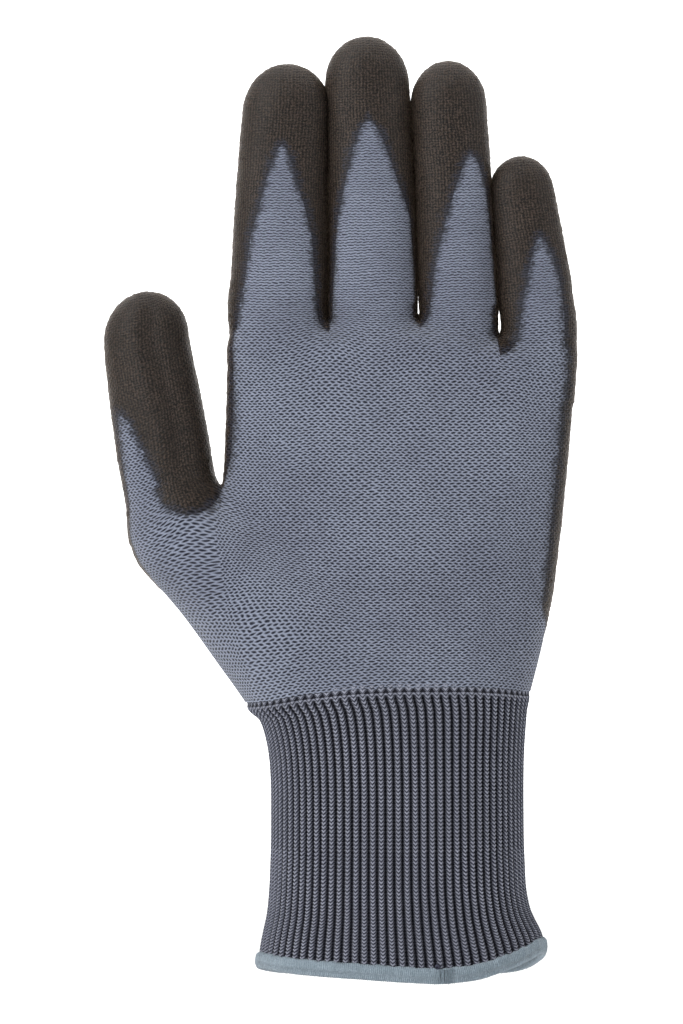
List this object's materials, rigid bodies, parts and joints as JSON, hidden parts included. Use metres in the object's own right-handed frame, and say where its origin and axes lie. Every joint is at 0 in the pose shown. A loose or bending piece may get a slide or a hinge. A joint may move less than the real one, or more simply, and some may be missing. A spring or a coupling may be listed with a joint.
{
  "type": "cut resistant glove",
  "caption": "Right-hand cut resistant work glove: seamless knitted liner, film coated palm and fingertips, ribbed elastic cuff, fingers and wrist that bend.",
  "frame": {"origin": "centre of the cuff mouth, level with the lower edge of the hem", "axes": "+Z towards the fingertips, +Y towards the palm side, the thumb on the -X side"},
  "size_m": [0.123, 0.0526, 0.25],
  "materials": {
    "hand_knit": "fine plain knit, matt",
    "coating": "thin satin film, fine knit texture showing through",
    "rib_knit": "ribbed knit with dark furrows",
    "hem_thread": "overlock thread",
    "elastic_yarn": "covered elastic yarn"
  },
  "bodies": {
    "cuff": {"cuff_hem_binding": "hem_thread", "hem_thread_tack": "hem_thread", "cuff_rib_knit": "rib_knit", "cuff_elastic_yarns": "elastic_yarn", "wrist_rib_fold": "rib_knit"},
    "hand": {"wrist_transition_courses": "rib_knit", "hand_knit_liner": "hand_knit", "palm_coating": "coating", "index_knuckle_fold": "hand_knit", "middle_knuckle_fold": "hand_knit", "ring_knuckle_fold": "hand_knit", "little_knuckle_fold": "hand_knit", "thumb_knuckle_fold": "hand_knit"},
    "index_lower": {"index_lower_liner": "hand_knit", "index_lower_coating": "coating", "index_mid_fold": "hand_knit"},
    "index_upper": {"index_upper_liner": "hand_knit", "index_upper_coating": "coating", "index_tip_fold": "hand_knit"},
    "index_tip": {"index_tip_liner": "hand_knit", "index_tip_coating": "coating"},
    "middle_lower": {"middle_lower_liner": "hand_knit", "middle_lower_coating": "coating", "middle_mid_fold": "hand_knit"},
    "middle_upper": {"middle_upper_liner": "hand_knit", "middle_upper_coating": "coating", "middle_tip_fold": "hand_knit"},
    "middle_tip": {"middle_tip_liner": "hand_knit", "middle_tip_coating": "coating"},
    "ring_lower": {"ring_lower_liner": "hand_knit", "ring_lower_coating": "coating", "ring_mid_fold": "hand_knit"},
    "ring_upper": {"ring_upper_liner": "hand_knit", "ring_upper_coating": "coating", "ring_tip_fold": "hand_knit"},
    "ring_tip": {"ring_tip_liner": "hand_knit", "ring_tip_coating": "coating"},
    "little_lower": {"little_lower_liner": "hand_knit", "little_lower_coating": "coating", "little_mid_fold": "hand_knit"},
    "little_upper": {"little_upper_liner": "hand_knit", "little_upper_coating": "coating", "little_tip_fold": "hand_knit"},
    "little_tip": {"little_tip_liner": "hand_knit", "little_tip_coating": "coating"},
    "thumb_lower": {"thumb_lower_liner": "hand_knit", "thumb_lower_coating": "coating", "thumb_tip_fold": "hand_knit"},
    "thumb_tip": {"thumb_tip_liner": "hand_knit", "thumb_tip_coating": "coating"}
  },
  "joints": [
    {"name": "wrist_flex", "type": "hinge", "parent": "cuff", "child": "hand", "pos_m": [-0.0015, 0, 0.056], "axis": [-1, 0, 0], "range_deg": [-45, 55], "stiffness_Nm_per_rad": 0.25, "deforming": ["wrist_rib_fold"]},
    {"name": "index_lower_bend", "type": "hinge", "parent": "hand", "child": "index_lower", "pos_m": [-0.03235, 0.00427, 0.1805], "axis": [-0.9998, 0, 0.0209], "range_deg": [0, 65], "stiffness_Nm_per_rad": 0.01, "deforming": ["index_knuckle_fold"]},
    {"name": "index_upper_bend", "type": "hinge", "parent": "index_lower", "child": "index_upper", "pos_m": [-0.03195, 0.00427, 0.19999], "axis": [-0.9998, 0, 0.0209], "range_deg": [0, 75], "stiffness_Nm_per_rad": 0.01, "deforming": ["index_mid_fold"]},
    {"name": "index_tip_bend", "type": "hinge", "parent": "index_upper", "child": "index_tip", "pos_m": [-0.0315, 0.00427, 0.22149], "axis": [-0.9998, 0, 0.0209], "range_deg": [0, 50], "stiffness_Nm_per_rad": 0.01, "deforming": ["index_tip_fold"]},
    {"name": "middle_lower_bend", "type": "hinge", "parent": "hand", "child": "middle_lower", "pos_m": [-0.00763, 0.00392, 0.1807], "axis": [-0.9998, 0, -0.0192], "range_deg": [0, 65], "stiffness_Nm_per_rad": 0.01, "deforming": ["middle_knuckle_fold"]},
    {"name": "middle_upper_bend", "type": "hinge", "parent": "middle_lower", "child": "middle_upper", "pos_m": [-0.00805, 0.00392, 0.2022], "axis": [-0.9998, 0, -0.0192], "range_deg": [0, 75], "stiffness_Nm_per_rad": 0.01, "deforming": ["middle_mid_fold"]},
    {"name": "middle_tip_bend", "type": "hinge", "parent": "middle_upper", "child": "middle_tip", "pos_m": [-0.0085, 0.00392, 0.22569], "axis": [-0.9998, 0, -0.0192], "range_deg": [0, 50], "stiffness_Nm_per_rad": 0.01, "deforming": ["middle_tip_fold"]},
    {"name": "ring_lower_bend", "type": "hinge", "parent": "hand", "child": "ring_lower", "pos_m": [0.01473, 0.00353, 0.18019], "axis": [-0.9993, 0, -0.0384], "range_deg": [0, 65], "stiffness_Nm_per_rad": 0.01, "deforming": ["ring_knuckle_fold"]},
    {"name": "ring_upper_bend", "type": "hinge", "parent": "ring_lower", "child": "ring_upper", "pos_m": [0.01398, 0.00353, 0.19968], "axis": [-0.9993, 0, -0.0384], "range_deg": [0, 75], "stiffness_Nm_per_rad": 0.01, "deforming": ["ring_mid_fold"]},
    {"name": "ring_tip_bend", "type": "hinge", "parent": "ring_upper", "child": "ring_tip", "pos_m": [0.01316, 0.00353, 0.22117], "axis": [-0.9993, 0, -0.0384], "range_deg": [0, 50], "stiffness_Nm_per_rad": 0.01, "deforming": ["ring_tip_fold"]},
    {"name": "little_lower_bend", "type": "hinge", "parent": "hand", "child": "little_lower", "pos_m": [0.0349, 0.00324, 0.17418], "axis": [-0.9965, 0, -0.0837], "range_deg": [0, 65], "stiffness_Nm_per_rad": 0.01, "deforming": ["little_knuckle_fold"]},
    {"name": "little_upper_bend", "type": "hinge", "parent": "little_lower", "child": "little_upper", "pos_m": [0.03368, 0.00324, 0.18863], "axis": [-0.9965, 0, -0.0837], "range_deg": [0, 75], "stiffness_Nm_per_rad": 0.01, "deforming": ["little_mid_fold"]},
    {"name": "little_tip_bend", "type": "hinge", "parent": "little_upper", "child": "little_tip", "pos_m": [0.03241, 0.00324, 0.20383], "axis": [-0.9965, 0, -0.0837], "range_deg": [0, 50], "stiffness_Nm_per_rad": 0.01, "deforming": ["little_tip_fold"]},
    {"name": "thumb_lower_bend", "type": "hinge", "parent": "hand", "child": "thumb_lower", "pos_m": [-0.06077, 0.00913, 0.13741], "axis": [-0.9877, 0, -0.1564], "range_deg": [0, 50], "stiffness_Nm_per_rad": 0.01, "deforming": ["thumb_knuckle_fold"]},
    {"name": "thumb_tip_bend", "type": "hinge", "parent": "thumb_lower", "child": "thumb_tip", "pos_m": [-0.06445, 0.00913, 0.16062], "axis": [-0.9877, 0, -0.1564], "range_deg": [0, 60], "stiffness_Nm_per_rad": 0.01, "deforming": ["thumb_tip_fold"]}
  ]
}
